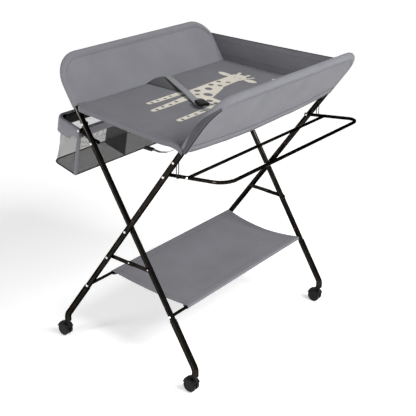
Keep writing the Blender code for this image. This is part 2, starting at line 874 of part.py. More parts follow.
def brake_lever(word, axle):
    """A curved pad on the back of the hood, hinged at its lower end."""
    name = f"brake_lever_{word}"
    inner = HOOD_R + SLACK / 2
    outer = inner + LEVER_T
    hinge = arc(axle, (inner + outer) / 2, *LEVER_ARC, 1)[-1]
    body(name, hinge, f"caster_fork_{word}")
    band = arc(axle, outer, *LEVER_ARC, SMALL_STEPS)
    band += arc(axle, inner, *LEVER_ARC[::-1], SMALL_STEPS)
    shape = bmesh.new()
    prism(shape, [point - Y * LEVER_HALF for point in band], Y * 2 * LEVER_HALF)
    add(name, shape, plastic, name)


def leg_ends():
    for frame, wing_side, half in (("outer", 1, OUTER_HALF), ("inner", -1, INNER_HALF)):
        for where, end in ENDS.items():
            word = f"{frame}_{where}"
            foot = lower_leg(word, wing_side, half, end, f"{frame}_frame")
            axle = Vector((foot.x - TRAIL, foot.y, WHEEL_R))
            body(f"caster_fork_{word}", foot, f"lower_leg_{word}")
            body(f"caster_wheels_{word}", axle, f"caster_fork_{word}")
            caster_fork(word, foot, axle)
            caster_wheels(word, axle)
            brake_lever(word, axle)


# The whole table


def frames():
    crossing = (0.0, 0.0, CROSS_Z)
    body("outer_frame", (0.0, 0.0, 0.0))
    body("inner_frame", crossing, "outer_frame")
    leg_frame("outer_frame_tube", 1, OUTER_HALF, RACK_PIVOT_Z, "outer_frame")
    leg_frame("inner_frame_tube", -1, INNER_HALF, BASKET_PIVOT_Z, "inner_frame")
    cross_pivot_bolts()
    shelf_rod("shelf_rod_left", 1, OUTER_HALF, "outer_frame")
    shelf_rod("shelf_rod_right", -1, INNER_HALF, "inner_frame")


def braces():
    foot = on_leg(-1, INNER_HALF, 1, BRACE_Z).x
    body("outer_links", (-foot, 0.0, BRACE_Z), "outer_frame")
    body("inner_links", (foot, 0.0, BRACE_Z), "inner_frame")
    for word, end in ENDS.items():
        brace_link(f"brace_outer_link_{word}", end, 1, "outer_links")
        brace_link(f"brace_inner_link_{word}", end, -1, "inner_links")
    brace_middle_rivets()


def fabric():
    wing_cover("wing_cover_right", 1, OUTER_HALF, "outer_frame")
    wing_cover("wing_cover_left", -1, INNER_HALF, "inner_frame")
    fabric_top()
    end_panel()
    shelf_sheet()
    body("buckle_carry", BUCKLE_PIVOT, "outer_frame")
    body("buckle_plug_slide", BUCKLE_PIVOT, "buckle_carry")
    buckle()
    harness_straps()
    corner_strap()


clear_scene()
paint = material("black_brown_paint", (0.022, 0.018, 0.015), 0.3)
steel = material("bright_steel", (0.72, 0.72, 0.72), 0.3, 1.0)
plastic = material("black_plastic", (0.02, 0.02, 0.02), 0.45)
rubber = material("wheel_black", (0.015, 0.015, 0.015), 0.55)
cloth = material("grey_fabric", (0.17, 0.175, 0.19), 0.85)
webbing = material("grey_webbing", (0.15, 0.155, 0.165), 0.8)
mesh_fabric = material("dark_mesh", (0.05, 0.05, 0.055), 0.9)
frames()
braces()
side_rack("rack", 1, OUTER_HALF, RACK_PIVOT_Z, RACK_TILT, RACK_REACH, RACK_BAR_AT)
side_rack("basket", -1, INNER_HALF, BASKET_PIVOT_Z, BASKET_TILT, BASKET_REACH, BASKET_BAR_AT)
basket_mesh()
basket_dividers()
basket_rim()
fabric()
leg_ends()
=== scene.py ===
"""Looks for the folding changing table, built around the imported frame.

Everything is in metres in the row frame: +Z up, the open end at -Y, the drying rack at +X and the
basket at -X. Places are worked out from the frame's joints and boxes.
"""

import json
from math import copysign, cos, exp, hypot, pi, radians, sin, sqrt

import bmesh
import bpy
import numpy as np
from mathutils import Matrix, Vector, noise


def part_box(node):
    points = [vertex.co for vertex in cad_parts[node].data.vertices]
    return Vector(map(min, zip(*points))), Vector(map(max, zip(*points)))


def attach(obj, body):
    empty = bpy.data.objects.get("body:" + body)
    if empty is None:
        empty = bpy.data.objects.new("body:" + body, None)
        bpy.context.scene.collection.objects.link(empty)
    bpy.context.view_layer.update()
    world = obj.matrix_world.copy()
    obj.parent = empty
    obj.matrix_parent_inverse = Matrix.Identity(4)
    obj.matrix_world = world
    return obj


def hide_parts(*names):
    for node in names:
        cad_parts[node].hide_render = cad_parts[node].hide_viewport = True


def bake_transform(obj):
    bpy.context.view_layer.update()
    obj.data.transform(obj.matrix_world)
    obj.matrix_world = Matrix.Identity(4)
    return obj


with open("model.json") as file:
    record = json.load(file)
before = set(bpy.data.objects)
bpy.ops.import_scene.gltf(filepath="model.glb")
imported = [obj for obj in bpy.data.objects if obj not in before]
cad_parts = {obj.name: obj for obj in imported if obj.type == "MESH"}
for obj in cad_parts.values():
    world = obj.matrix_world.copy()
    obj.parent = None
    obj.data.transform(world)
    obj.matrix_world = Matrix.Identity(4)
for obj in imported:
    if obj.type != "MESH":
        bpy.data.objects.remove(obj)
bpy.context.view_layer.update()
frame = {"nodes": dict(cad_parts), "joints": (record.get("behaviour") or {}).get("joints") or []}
joints = {joint["name"]: joint for joint in frame["joints"]}

X = Vector((1.0, 0.0, 0.0))
Y = Vector((0.0, 1.0, 0.0))
Z = Vector((0.0, 0.0, 1.0))

# Places read from the frame
CROSS = Vector(joints["frame_fold"]["pos_m"])
socket_low, socket_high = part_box("buckle_socket")
BUCKLE_AT = (socket_low + socket_high) / 2
SLIDE = joints["leg_slide_outer_near"]["axis"]
LEG_RUN = abs(SLIDE[0] / SLIDE[2])
LEG_LENGTH = hypot(LEG_RUN, 1.0)
OUTER_HALF = abs(joints["caster_swivel_outer_near"]["pos_m"][1])
INNER_HALF = abs(joints["caster_swivel_inner_near"]["pos_m"][1])
TUBE_R = 0.0095
WING_TOP_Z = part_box("outer_frame_tube")[1].z - TUBE_R
shelf_low, shelf_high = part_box("shelf_sheet")
SHELF_Z = (shelf_low.z + shelf_high.z) / 2

# Cloth of the top
CLOTH_T = 0.0012
WRAP_R = TUBE_R + 0.0014
CREASE_LEFT_Z = 0.838
CREASE_RIGHT_Z = 0.824

# Wing covers
WING_CORNER_R = 0.085
WING_ROWS = 28
WING_SEAM_ROW = 23
HEM_Z = 0.8065
HEM_SAG = 0.028
HEM_FOLD = 0.021
HEM_STEP = 0.0024
HEM_CURVE = 0.03
INNER_HEM_DROP = 0.013
LEFT_END_DROP = 0.006
# Width of the dark line in the outer hem's fold, which is a painted shadow line
HEM_SHADOW_W = 0.0030
# Thickness of the dark strip along the right wing's near edge, which is painted shade
SHADE_STRIP_T = 0.0008
CORD_W = 0.0046

# How far the faces turned to +X and to -X stand off the frame's plane
WING_FACE = 0.0068
WING_BACK = 0.0045
WING_RIPPLE = 0.0022
WING_WRINKLE = 0.0007
WING_BULGE = 0.0010

# The cover hugs its tube for the first stretch and leaves it over the second
TUBE_HOLD = 0.004
TUBE_EASE = 0.013

# Changing surface and end panel
NEAR_RISE = 0.006
TOP_SAG = 0.006
TOP_RIPPLE = 0.0016
TOP_WRINKLE = 0.0010
CORNER_WRINKLE = 0.0030
VALLEY_LEFT = 0.005
VALLEY_RIGHT = 0.009
BAND_H = 0.018
BAND_GAP = 0.0016
BAND_BOW = 0.0012
BUCKLE_DIP = 0.0024
BUCKLE_REACH = 0.045
PANEL_TOP_Z = 0.926
PANEL_DROP = 0.010
PANEL_BOW = 0.006

# Shelf
ROD_R = 0.005
SHELF_WRAP_R = ROD_R + 0.0013
SHELF_SAG = 0.024
SHELF_LAP = 0.018
SHELF_LAP_GAP = 0.0035
SHELF_NEAR = (-0.287, -0.300)
SHELF_FAR = (0.384, 0.362)
SHELF_RIPPLE = 0.0022
SHELF_COLUMNS = 30
SHELF_ROWS = 60
LAP_STEPS = 6
SLEEVE_STEPS = 8

# Basket
BASKET_TILT = radians(13.0)
BASKET_IN = 0.078
BASKET_OUT = 0.178
BASKET_DEPTH = 0.157
BASKET_FLOOR_IN = 0.064
BASKET_FLOOR_OUT = 0.168
BASKET_FLOOR_HALF = 0.358
BASKET_CORNER_R = 0.026
BASKET_SAG = 0.007
BASKET_SLACK = 0.004
SLEEVE_R = 0.0064
ARM_R = 0.0055
ARM_END_GAP = 0.0008
RIM_DEPTH = 0.042
RIM_WRAP = 0.0014
RIM_NOTCH = 0.42
SKIRT_DEPTH = 0.022
DIVIDER_Y = 0.117
DIVIDER_TOP = 0.020
BAR_HEAD = 0.0026

# The basket's own axes: its pivot, out along the arms, and down square to them
PIVOT = Vector(joints["basket_fold"]["pos_m"])
ALONG = Vector((-cos(BASKET_TILT), 0.0, sin(BASKET_TILT)))
DOWN = Vector((-sin(BASKET_TILT), 0.0, -cos(BASKET_TILT)))
arms_low, arms_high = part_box("basket_frame")
ARM_HALF = (arms_high.y - arms_low.y) / 2 - ARM_R - ARM_END_GAP

# Harness
STRAP_W = 0.025
STRAP_T = 0.0014
STRAP_LIFT = 0.0009
TAB_LIFT = 0.0016
TAB_RIDGE = 0.010

# Thread
STITCH = 0.0030
STITCH_PITCH = 0.0046
THREAD = 0.0006

# Print, from the middle of the top: limbs are (x, y, x, y, radius, radius), and patches and spots are
# (x, y, half width, half height)
PRINT_CELL = 0.0022
PRINT_LIFT = 0.00035
PRINT_LEGS = (
    (-0.088, -0.030, -0.092, -0.193, 0.013, 0.009),
    (-0.046, -0.050, -0.039, -0.233, 0.015, 0.009),
    (0.062, -0.060, 0.071, -0.242, 0.014, 0.009),
)
PRINT_LIMBS = (
    (-0.062, -0.004, 0.052, -0.022, 0.026, 0.020),
    (-0.058, 0.000, -0.066, 0.225, 0.032, 0.026),
    (-0.030, 0.010, -0.052, 0.100, 0.036, 0.028),
    (-0.078, 0.262, -0.086, 0.292, 0.004, 0.006),
    (-0.054, 0.264, -0.048, 0.294, 0.004, 0.006),
    (-0.034, 0.262, -0.020, 0.282, 0.003, 0.005),
)
PRINT_PATCHES = (
    (-0.064, 0.243, 0.032, 0.036), (-0.116, 0.243, 0.026, 0.014),
    (-0.008, 0.246, 0.025, 0.014), (0.052, 0.322, 0.022, 0.010),
)
PRINT_SPOTS = (
    (-0.056, 0.070, 0.013, 0.013), (-0.020, 0.020, 0.016, 0.015), (-0.068, 0.024, 0.011, 0.012),
    (-0.076, 0.110, 0.009, 0.010), (-0.052, 0.128, 0.009, 0.008), (-0.080, 0.158, 0.008, 0.009),
    (-0.054, 0.178, 0.009, 0.008), (-0.044, -0.006, 0.008, 0.008), (0.020, -0.024, 0.012, 0.010),
    (0.050, -0.030, 0.009, 0.009), (-0.010, -0.034, 0.009, 0.008), (-0.074, 0.246, 0.003, 0.003),
    (-0.052, 0.246, 0.003, 0.003),
)

# Studio
FLOOR_HALF = 18.0
NEAR_GLOW = 0.40
FAR_GLOW = 0.66
SKY = 0.68
ZENITH = 0.22

# Camera
CAMERA_AT = Vector((1.67925, -2.26015, 1.709))
CAMERA_AZIMUTH = radians(36.383)
CAMERA_ELEVATION = radians(24.418)
CAMERA_ROLL = radians(2.4)
CAMERA_LENS = 77.83


# Node materials


class Surface:
    """A material under construction: a Principled shader and helpers that add nodes before it."""

    def __init__(self, name, colour, roughness, metallic=0.0):
        self.material = bpy.data.materials.new(name)
        self.material.use_nodes = True
        self.tree = self.material.node_tree
        self.shader = self.tree.nodes["Principled BSDF"]
        self.colour = (*colour, 1.0)
        self.put("Base Color", self.colour)
        self.put("Roughness", roughness)
        self.put("Metallic", metallic)

    def put(self, socket, value):
        self.shader.inputs[socket].default_value = value

    def node(self, kind, sockets=None, **settings):
        made = self.tree.nodes.new("ShaderNode" + kind)
        for key, value in settings.items():
            setattr(made, key, value)
        for socket, value in (sockets or {}).items():
            made.inputs[socket].default_value = value
        return made

    def link(self, out, into):
        self.tree.links.new(out, into)

    def coordinates(self, kind="Object"):
        return self.node("TexCoord").outputs[kind]

    def noise(self, scale, detail=3.0, space="Object", stretch=None):
        texture = self.node("TexNoise", {"Scale": scale, "Detail": detail})
        source = self.coordinates(space)
        if stretch:
            mapping = self.node("Mapping", {"Scale": stretch})
            self.link(source, mapping.inputs["Vector"])
            source = mapping.outputs["Vector"]
        self.link(source, texture.inputs["Vector"])
        return texture.outputs["Fac"]

    def bands(self, scale, direction, space="UV"):
        sockets = {"Scale": scale, "Distortion": 0.6, "Detail": 1.0}
        wave = self.node("TexWave", sockets, wave_type="BANDS", bands_direction=direction)
        self.link(self.coordinates(space), wave.inputs["Vector"])
        return wave.outputs["Fac"]

    def math(self, operation, first, second):
        made = self.node("Math", operation=operation)
        for value, socket in ((first, made.inputs[0]), (second, made.inputs[1])):
            if isinstance(value, float):
                socket.default_value = value
            else:
                self.link(value, socket)
        return made.outputs[0]

    def mixed(self, first, second, share):
        """Two textures added, the first with this share of the sum."""
        parts = (self.math("MULTIPLY", first, share), self.math("MULTIPLY", second, 1 - share))
        return self.math("ADD", *parts)

    def spread(self, source, low, high, start=0.25, stop=0.75):
        """A value between start and stop, stretched to low to high."""
        limits = {"From Min": start, "From Max": stop, "To Min": low, "To Max": high}
        remap = self.node("MapRange", limits)
        self.link(source, remap.inputs["Value"])
        return remap.outputs["Result"]

    def tint(self, source, dark, light):
        """The base colour, scaled between two shares by a texture."""
        ramp = self.node("ValToRGB")
        ramp.color_ramp.elements[0].position = 0.3
        ramp.color_ramp.elements[1].position = 0.7
        for element, share in zip(ramp.color_ramp.elements, (dark, light)):
            element.color = (*(part * share for part in self.colour[:3]), 1.0)
        self.link(source, ramp.inputs["Fac"])
        self.link(ramp.outputs["Color"], self.shader.inputs["Base Color"])

    def rough(self, source, low, high):
        self.link(self.spread(source, low, high), self.shader.inputs["Roughness"])

    def bump(self, height, strength, distance):
        made = self.node("Bump", {"Strength": strength, "Distance": distance})
        self.link(height, made.inputs["Height"])
        self.link(made.outputs["Normal"], self.shader.inputs["Normal"])


def woven(name, colour, thread=0.0011, slubs=0.12):
    """Plain-weave polyester: crossing threads, slightly uneven in colour, with a faint sheen."""
    cloth = Surface(name, colour, 0.82)
    wave_scale = 1.0 / thread / 2 / pi * 3.0
    warp = cloth.bands(wave_scale, "X")
    weft = cloth.bands(wave_scale, "Y")
    weave = cloth.math("ADD", warp, weft)
    heather = cloth.noise(420.0, 2.0, "UV", (1.0, 0.25, 1.0))
    mottle = cloth.noise(9.0, 4.0, "UV")
    cloth.tint(cloth.mixed(heather, mottle, 0.45), 1.0 - slubs, 1.0 + slubs)
    cloth.rough(heather, 0.72, 0.9)
    cloth.bump(cloth.math("ADD", weave, heather), 0.35, 0.0004)
    cloth.put("Sheen Weight", 0.08)
    cloth.put("Sheen Roughness", 0.5)
    cloth.put("Specular IOR Level", 0.3)
    return cloth.material


def mesh_cloth(name, colour, yarn, middle, hole=0.0021):
    """Warp-knit mesh: how opaque it is on the yarn and in the middle of a hole."""
    cloth = Surface(name, colour, 0.75)
    scale = 2 * pi / hole
    split = cloth.node("SeparateXYZ")
    cloth.link(cloth.coordinates("UV"), split.inputs[0])
    across = cloth.math("SINE", cloth.math("MULTIPLY", split.outputs[0], scale), 0.0)
    along = cloth.math("SINE", cloth.math("MULTIPLY", split.outputs[1], scale * 0.62), 0.0)
    ridge = cloth.math("ABSOLUTE", cloth.math("MULTIPLY", across, along), 0.0)
    cloth.link(cloth.spread(ridge, yarn, middle, 0.18, 0.62), cloth.shader.inputs["Alpha"])
    cloth.tint(cloth.noise(60.0, 3.0, "UV"), 0.6, 1.4)
    cloth.bump(ridge, 0.4, 0.0004)
    cloth.put("Specular IOR Level", 0.2)
    return cloth.material


def painted_tube():
    """Glossy black-brown powder coat with a fine orange peel, dark at grazing angles too."""
    paint = Surface("powder_coat", (0.0190, 0.0168, 0.0146), 0.2, 1.0)
    peel = paint.noise(900.0, 2.0)
    wear = paint.noise(35.0, 5.0)
    paint.tint(wear, 0.75, 1.3)
    paint.rough(wear, 0.10, 0.18)
    paint.bump(peel, 0.12, 0.0002)
    paint.put("Specular Tint", (0.12, 0.12, 0.12, 1.0))
    return paint.material


def bright_steel():
    steel = Surface("bright_steel", (0.78, 0.77, 0.75), 0.28, 1.0)
    turned = steel.noise(700.0, 2.0)
    steel.tint(turned, 0.8, 1.05)
    steel.rough(turned, 0.18, 0.4)
    steel.bump(turned, 0.08, 0.0001)
    return steel.material


def moulded(name, colour, low, high, grain=650.0):
    """Moulded plastic with a fine spark-eroded grain and handled patches."""
    plastic = Surface(name, colour, (low + high) / 2)
    fine = plastic.noise(grain, 3.0)
    patch = plastic.noise(28.0, 4.0)
    plastic.tint(patch, 0.8, 1.25)
    plastic.rough(patch, low, high)
    plastic.bump(fine, 0.22, 0.0002)
    plastic.put("Specular IOR Level", 0.13)
    return plastic.material


def webbing():
    """Polyester webbing with strong crosswise ribs."""
    tape = Surface("webbing", (0.195, 0.2, 0.21), 0.7)
    ribs = tape.bands(170.0, "X")
    fine = tape.noise(500.0, 2.0, "UV")
    tape.tint(tape.mixed(ribs, fine, 0.5), 0.75, 1.2)
    tape.bump(ribs, 0.5, 0.0005)
    tape.put("Sheen Weight", 0.15)
    return tape.material


# Cloth meshes


def lengths(points):
    """Distance along a line of points, from its first."""
    steps = np.linalg.norm(np.diff(points, axis=0), axis=1)
    return np.concatenate([[0.0], np.cumsum(steps)])


def add_face(shape, layer, verts, places):
    """A face, with a UV for each of its corners."""
    face = shape.faces.new(verts)
    for loop, place in zip(face.loops, places):
        loop[layer].uv = place


def cloth_mesh(name, material, grids, thickness=CLOTH_T):
    """A mesh made of grids of points. Each grid comes with where its UVs, in metres, start upwards."""
    shape = bmesh.new()
    layer = shape.loops.layers.uv.new("UVMap")
    for grid, start in grids:
        grid = np.array(grid, float)
        rows, columns = grid.shape[:2]
        across = lengths(grid[rows // 2])
        along = lengths(grid[:, columns // 2]) + start
        verts = [[shape.verts.new(point) for point in row] for row in grid]
        for i in range(rows - 1):
            for j in range(columns - 1):
                ring = ((i, j), (i, j + 1), (i + 1, j + 1), (i + 1, j))
                corners = {tuple(np.round(grid[a][b], 6)): (a, b) for a, b in ring}.values()
                if len(corners) > 2:
                    places = [(across[b], along[a]) for a, b in corners]
                    add_face(shape, layer, [verts[a][b] for a, b in corners], places)
    bmesh.ops.remove_doubles(shape, verts=shape.verts, dist=2e-5)
    bmesh.ops.recalc_face_normals(shape, faces=shape.faces)
    obj = make_object(name, shape, material)
    if thickness:
        solid = obj.modifiers.new("thickness", "SOLIDIFY")
        solid.thickness = thickness
        solid.offset = 0.0
    return obj


def make_object(name, shape, material):
    mesh = bpy.data.meshes.new(name)
    shape.to_mesh(mesh)
    shape.free()
    mesh.materials.append(material)
    mesh.shade_smooth()
    obj = bpy.data.objects.new(name, mesh)
    bpy.context.scene.collection.objects.link(obj)
    return obj


def smooth(value):
    """0 to 1 with flat ends."""
    value = min(max(value, 0.0), 1.0)
    return value * value * (3 - 2 * value)


def mix(one, other, share):
    return one + (other - one) * share


def ripple(point, size, seed):
    """Soft folds: a repeatable noise between -1 and 1."""
    return noise.noise(Vector(point) / size + Vector((seed, seed * 1.7, seed * 0.3)))


def leg_x(wing_side, z):
    return CROSS.x + wing_side * (z - CROSS.z) * LEG_RUN


def arc_points(centre, radius, start, stop, steps, right, up):
    points = []
    for step in range(steps + 1):
        angle = radians(mix(start, stop, step / steps))
        points.append(centre + right * (radius * cos(angle)) + up * (radius * sin(angle)))
    return points


def directions(points):
    """The way along a line at each of its points."""
    behind = [points[0], *points[:-1]]
    ahead = [*points[1:], points[-1]]
    return [after - before for before, after in zip(behind, ahead)]


# Stitching


def seam_line(grid, row, outward, first=0, last=None):
    """A row of a grid as (point, normal) pairs, its normals on the outward side."""
    points = [Vector(point) for point in grid[row]]
    beside = [Vector(point) for point in grid[row + 1 if row + 1 < len(grid) else row - 1]]
    pairs = []
    for point, along, other in zip(points, directions(points), beside):
        normal = along.cross(other - point).normalized()
        pairs.append((point, normal if normal.dot(outward) > 0 else -normal))
    return pairs[first:last]


def turned_grid(grid):
    return [list(column) for column in zip(*grid)]


def stitches(name, lines, lift=CLOTH_T / 2):
    """Short raised threads, evenly spaced along each line of (point, normal) pairs."""
    shape = bmesh.new()
    for line in lines:
        ahead = STITCH_PITCH
        for (start, normal), (end, _) in zip(line, line[1:]):
            run = (end - start).length
            if run < 1e-6:
                continue
            along = (end - start) / run
            across = normal.cross(along).normalized()
            while ahead < run:
                middle = start + along * ahead + normal * lift
                ends = []
                for step in (-STITCH / 2, STITCH / 2):
                    base = middle + along * step
                    tip = base - along * (step * 0.3) + normal * THREAD
                    ends.append([base - across * THREAD, base + across * THREAD, tip])
                verts = [[shape.verts.new(place) for place in triple] for triple in ends]
                for one, other in ((0, 1), (1, 2), (2, 0)):
                    shape.faces.new((verts[0][one], verts[0][other], verts[1][other], verts[1][one]))
                shape.faces.new(verts[0][::-1])
                shape.faces.new(verts[1])
                ahead += STITCH_PITCH
            ahead -= run
    bmesh.ops.recalc_face_normals(shape, faces=shape.faces)
    return make_object(name, shape, thread_material)


# Wing covers


def wing_columns(half):
    """(y, drop below the top tube's centre) for each column, from the near end to the far end."""
    radius = WING_CORNER_R
    straight = half - radius
    turns = [radians(90 * step / 10) for step in range(11)]
    near = [(-straight - radius * cos(turn), radius * (1 - sin(turn))) for turn in turns]
    top = [(mix(-straight, straight, step / 30), 0.0) for step in range(1, 30)]
    far = [(straight + radius * cos(turn), radius * (1 - sin(turn))) for turn in turns[::-1]]
    return near + top + far


def wing_axes(side):
    """Up in the plane of a wing, and out square to it."""
    up = Vector((side * LEG_RUN, 0.0, 1.0)) / LEG_LENGTH
    out = Vector((side, 0.0, -LEG_RUN)) / LEG_LENGTH
    return up, out


def wing_heights(fold):
    """Shares of a face's height, close together round the hem's fold and at the tube."""
    above = fold * 1.12
    dense = 0.84
    shares = [0.0, fold * 0.5, fold * 0.93, fold, above]
    shares += [mix(above, dense, step / 14) for step in range(1, 15)]
    return shares + [mix(dense, 1.0, step / 10) for step in range(1, 11)]


def wing_face(side, half, crease_z, face):
    """A face of a wing cover, from hem to tube. face is 1 for the outer one and -1 for the inner."""
    out = wing_axes(side)[1]

    def point_at(y, drop, row):
        inside = smooth((half - abs(y)) / HEM_CURVE)
        high = WING_TOP_Z - drop / LEG_LENGTH
        end_z = crease_z - LEFT_END_DROP if side < 0 and y < 0 else HEM_Z
        if face > 0:
            low = mix(end_z, HEM_Z - HEM_SAG * (1 - (y / half) ** 2), inside)
        else:
            low = mix(end_z, crease_z - INNER_HEM_DROP, inside)
        z = mix(low, high, wing_heights(HEM_FOLD / (high - low))[row])
        point = Vector((leg_x(side, z), y, z))
        off_tube = smooth((min(half - abs(y), (high - z) * LEG_LENGTH) - TUBE_HOLD) / TUBE_EASE)
        push = mix(WRAP_R, WING_FACE if side * face > 0 else WING_BACK, off_tube)
        push += off_tube * (WING_RIPPLE * ripple(point, 0.12, side * 3 + face) + WING_BULGE * face)
        push += WING_WRINKLE * off_tube * ripple((0, y * 2.4, z * 0.8), 0.04, side * 5 + face)
        if face > 0 and row < 3:
            push += HEM_STEP * inside * (1.0 if side > 0 else 0.5)
        return point + out * (face * push)

    columns = wing_columns(half)
    return [[point_at(y, drop, row) for y, drop in columns] for row in range(WING_ROWS + 1)]


def wing_rim(outer, inner, side, half):
    """Arcs that join the faces round the tube: up the near end, over the top, down the far end."""
    up, out = wing_axes(side)
    columns = wing_columns(half)
    last = len(columns) - 1
    border = [(row, 0) for row in range(WING_ROWS + 1)]
    border += [(WING_ROWS, column) for column in range(1, last + 1)]
    border += [(row, last) for row in range(WING_ROWS - 1, -1, -1)]
    rim = []
    for row, column in border:
        middle = (Vector(outer[row][column]) + Vector(inner[row][column])) / 2
        y = columns[column][0]
        if row < WING_ROWS:
            radial = Y * copysign(1.0, y)
        else:
            cosine = max(0.0, (abs(y) - (half - WING_CORNER_R)) / WING_CORNER_R)
            radial = Y * copysign(cosine, y) + up * sqrt(max(0.0, 1 - cosine * cosine))
        rim.append(arc_points(middle, WRAP_R, 90, -90, 8, radial, out))
    return rim


def wing_cover(node, side, half, crease_z, body, material):
    """A sewn pocket over one U: an inner face, an outer face that hangs to a hem, and the rim."""
    name = node + "_cloth"
    out = wing_axes(side)[1]
    outer = wing_face(side, half, crease_z, 1)
    inner = wing_face(side, half, crease_z, -1)
    rim = wing_rim(outer, inner, side, half)
    cover = cloth_mesh(name, material, [(outer, 0.0), (inner, 0.5), (rim, 0.9)])
    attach(cover, body)
    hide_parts(node)
    lines = [seam_line(outer, 4, out), seam_line(outer, WING_SEAM_ROW, out)]
    lines.append(seam_line(inner, WING_SEAM_ROW, -out))
    thread = stitches(name + "_stitching", lines)
    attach(thread, body)
    # A dark tape in the outer hem's fold: a painted shadow line
    groove = [point + out * 0.0006 for point in outer[3][1:-1]]
    piping(name + "_hem_painted_shadow", [groove], painted_shade_cloth, body, HEM_SHADOW_W, 0.25, -out.cross(Y))
    # The right wing gets a dark strip of painted shade along its near edge, beside the top
    if side > 0:
        edge = [line[0] for line in outer] + outer[WING_ROWS][1:7]
        edge_strip(name, body, rim[:WING_ROWS + 7], edge)


def edge_strip(name, body, rim_rows, edge):
    """A dark strip laid on the cover along the near edge, painted shade where the wing meets the top,
    and the cord sewn along its outer side. The strip's edges are places along each of the rim's arcs: wide
    low down and narrow at the top."""
    grid = []
    for number, row in enumerate(rim_rows):
        middle = (row[0] + row[-1]) / 2
        share = number / len(rim_rows)
        low_edge = mix(3.4, 6.2, smooth(share / 0.5))
        edge_place = mix(low_edge, 1.8, smooth((share - 0.78) / 0.22))
        line = []
        for step in range(9):
            place = mix(0.9, edge_place, step / 8)
            before = min(int(place), len(row) - 2)
            point = row[before].lerp(row[before + 1], place - before)
            line.append(middle + (point - middle) * 1.07)
        grid.append(line)
    strip = cloth_mesh(name + "_gusset", painted_shade_cloth, [(grid, 0.0)], SHADE_STRIP_T)
    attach(strip, body)
    outward = Y.cross(edge[1] - edge[0]).normalized()
    cord = [point + outward * 0.0007 - Y * 0.0012 for point in edge]
    piping(name + "_edge_cord", [cord], binding, body, CORD_W, 0.7, (outward - Y).normalized())


# Changing surface, end panel


def top_edges(y):
    """Left and right creases of the changing surface at a y: two points."""
    near = smooth((-y - 0.30) / 0.09)
    left_z = CREASE_LEFT_Z + NEAR_RISE * near
    right_z = CREASE_RIGHT_Z + NEAR_RISE * 0.5 * near
    left = Vector((leg_x(-1, left_z) + WRAP_R * 0.6, y, left_z))
    right = Vector((leg_x(1, right_z) - WRAP_R * 0.6, y, right_z))
    return left, right


def top_half(share, reach=-1.0):
    """Half the top's length: longer at the outer frame, and round the tubes at the near end."""
    wrap = mix(-WRAP_R - 0.003, WRAP_R + 0.001, smooth(share / 0.06))
    return mix(INNER_HALF, OUTER_HALF, share) + (wrap if reach < 0 else 0.0)


def top_point(share, reach):
    """A point of the changing surface. share goes left to right and reach from -1 near to 1 far."""
    y = reach * top_half(share, reach)
    left, right = top_edges(y)
    point = left.lerp(right, share)
    free = smooth(min(share, 1 - share) / 0.12)
    span = 4 * share * (1 - share)
    point.z -= TOP_SAG * span * (1 - 0.75 * reach ** 4)
    point.z += TOP_RIPPLE * free * ripple(point, 0.13, 5.0)
    point.z += TOP_WRINKLE * free * ripple((point.x * 2.2, point.y * 0.7, 0.0), 0.06, 9.0)
    point.z -= VALLEY_RIGHT * smooth((share - 0.965) / 0.035) + VALLEY_LEFT * smooth((0.03 - share) / 0.03)
    corner = exp(-(((share - 0.95) / 0.16) ** 2) - ((reach + 0.92) / 0.22) ** 2)
    point.z += CORNER_WRINKLE * corner * sin((share * 14 + reach * 9) * 2.2)
    apart = (point.x - BUCKLE_AT.x) ** 2 + (point.y - BUCKLE_AT.y) ** 2
    point.z -= BUCKLE_DIP * exp(-apart / BUCKLE_REACH ** 2)
    return point


def blend_top(obj):
    """Bakes the object's placement into its mesh; the fabric is not tied to either frame."""
    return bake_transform(obj)


def changing_surface(material):
    """The top, with a short band that hangs from its near edge."""
    columns, rows = 48, 84
    band = (1.0, 0.86, 0.83, 0.4, 0.12)
    shares = [i / columns for i in range(columns + 1)]
    grid = []
    for drop in band:
        line = []
        for share in shares:
            edge = top_point(share, -1.0)
            bow = BAND_BOW * sin(pi * drop) * sin(pi * share)
            line.append(edge - Z * (BAND_H * drop) - Y * (BAND_GAP + bow))
        grid.append(line)
    for j in range(rows + 1):
        grid.append([top_point(share, mix(-1.0, 1.0, j / rows)) for share in shares])
    sheet = cloth_mesh("changing_surface_cloth", material, [(grid, 0.0)])
    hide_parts("changing_surface")
    blend_top(sheet)
    by_column = turned_grid(grid)
    first = len(band) + 1
    lines = [seam_line(grid, first + 1, Z), seam_line(grid, 1, -Y), seam_line(grid, len(grid) - 3, Z)]
    lines += [seam_line(by_column, 1, Z, first, -1), seam_line(by_column, columns - 1, Z, first, -1)]
    blend_top(stitches("changing_surface_stitching", lines))


def end_panel(material):
    """The wall at the closed end, hemmed along its top."""
    columns, rows = 44, 16
    grid = []
    for j in range(rows + 1):
        line = []
        for i in range(columns + 1):
            share = i / columns
            low = top_point(share, 1.0).z - PANEL_DROP
            z = mix(low, PANEL_TOP_Z, j / rows)
            left = leg_x(-1, z) + WING_FACE
            right = leg_x(1, z) - WING_BACK
            free = sin(pi * share) * sin(pi * j / rows * 0.75)
            y = top_half(share, 1.0) + 0.0008 - PANEL_BOW * free
            point = Vector((mix(left, right, share), y, z))
            point.y += 0.0012 * free * ripple(point, 0.09, 12.0)
            if j > rows - 3:
                point.y += 0.0009
            line.append(point)
        grid.append(line)
    panel = cloth_mesh("end_panel_cloth", material, [(grid, 0.0)], CLOTH_T * 1.5)
    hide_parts("end_panel")
    blend_top(panel)
    lines = [seam_line(grid, rows - 3, -Y), seam_line(grid, 5, -Y)]
    blend_top(stitches("end_panel_stitching", lines, CLOTH_T))
    blend_top(piping("end_panel_binding", [grid[rows]], binding_and_painted_shade_grey, None, 0.0040, 0.6))


# Shelf


